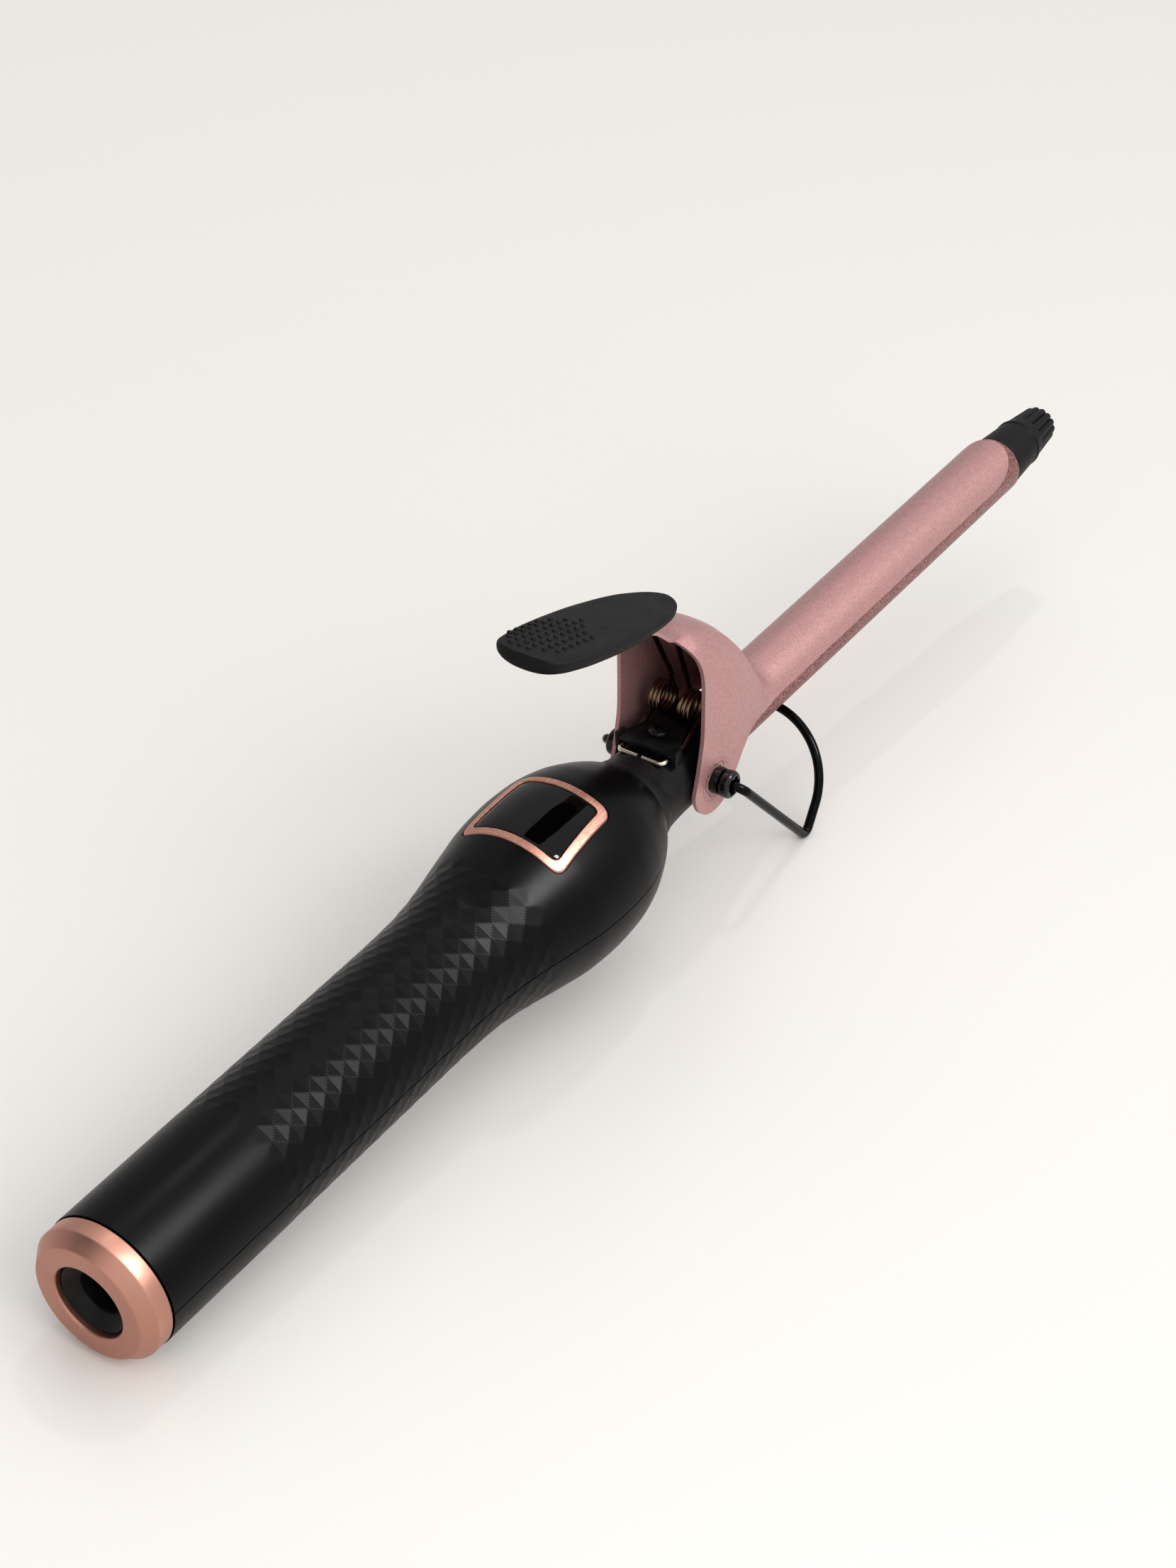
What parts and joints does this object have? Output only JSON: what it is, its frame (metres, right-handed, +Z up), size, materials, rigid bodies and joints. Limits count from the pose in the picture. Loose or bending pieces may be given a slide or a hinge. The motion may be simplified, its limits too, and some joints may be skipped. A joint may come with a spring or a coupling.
{
  "type": "curling iron",
  "caption": "Narrow-barrel curling iron with a sprung clamp, dotted thumb rest, wire stand, knurled handle with a touch display and a cord swivel.",
  "frame": {"origin": "middle of the overall box, on the surface the iron lies on", "axes": "+Y from the end ring towards the cool tip, +Z up, +X to the right of someone looking along +Y; the barrel's axis rises by about 4.3 degrees towards the tip"},
  "size_m": [0.0434, 0.3912, 0.0888],
  "materials": {
    "handle_black": "satin moulded, with a fine diamond grip",
    "matt_black": "matt heat-resistant moulding",
    "soft_touch": "soft-touch coating with raised dots",
    "display_black": "gloss black window",
    "rose_metal": "rose gold, brushed",
    "pink_coat": "pink metallic ceramic coat with fine glitter",
    "black_wire": "gloss black coated wire",
    "spring_steel": "bronze-tinted spring wire",
    "steel": "zinc plated",
    "brass": "turned",
    "copper": "rolled copper alloy",
    "aluminium": "extruded",
    "ceramic": "fired ceramic",
    "board": "solder-mask green board",
    "milky_plastic": "milky light guide",
    "red_insulation": "silicone sleeving",
    "yellow_plastic": "capacitor case"
  },
  "bodies": {
    "housing": {"handle_upper_shell": "handle_black", "handle_lower_shell": "handle_black", "shell_screw_rear": "steel", "shell_screw_front": "steel", "end_ring": "rose_metal", "swivel_retaining_washer": "steel", "swivel_contact_block": "matt_black", "swivel_contact_rear": "copper", "swivel_contact_front": "copper", "display_bezel": "rose_metal", "display_lens": "display_black", "display_light_guide": "milky_plastic", "display_board": "board", "main_board": "board", "suppression_capacitor": "yellow_plastic", "power_triac": "matt_black", "control_chip": "matt_black", "heater_lead_left": "red_insulation", "heater_lead_right": "red_insulation", "neck_collar": "matt_black", "barrel_tube": "pink_coat", "ceramic_heater": "ceramic", "heater_carrier_upper": "aluminium", "heater_carrier_lower": "aluminium", "thermal_fuse": "steel", "temperature_sensor": "ceramic", "tip_cap": "matt_black", "tip_insulating_disc": "ceramic", "tip_fixing_screw": "steel", "pivot_bush_left": "matt_black", "pivot_bush_right": "matt_black", "pivot_insert_left": "brass", "pivot_insert_right": "brass", "pivot_spacer_left": "matt_black", "pivot_spacer_right": "matt_black", "torsion_spring": "spring_steel", "spring_retainer": "matt_black", "retainer_screw": "matt_black"},
    "clamp": {"clamp_plate": "pink_coat", "thumb_rest": "soft_touch"},
    "stand": {"stand_wire": "black_wire"},
    "swivel": {"cord_swivel_sleeve": "matt_black", "swivel_slip_ring_rear": "copper", "swivel_slip_ring_front": "copper"}
  },
  "joints": [
    {"name": "clamp_hinge", "type": "hinge", "parent": "housing", "child": "clamp", "pos_m": [0, 0.00931, 0.03049], "axis": [1, 0, 0], "range_deg": [0, 24], "stiffness_Nm_per_rad": 0.35, "springref_deg": -34.38, "deforming": ["torsion_spring"]},
    {"name": "stand_swing", "type": "hinge", "parent": "housing", "child": "stand", "pos_m": [0, 0.00931, 0.03049], "axis": [1, 0, 0], "range_deg": [-110, 0]},
    {"name": "cord_swivel", "type": "hinge", "parent": "housing", "child": "swivel", "pos_m": [0, -0.19162, 0.01536], "axis": [0, 0.9972, 0.0751], "continuous": true}
  ]
}
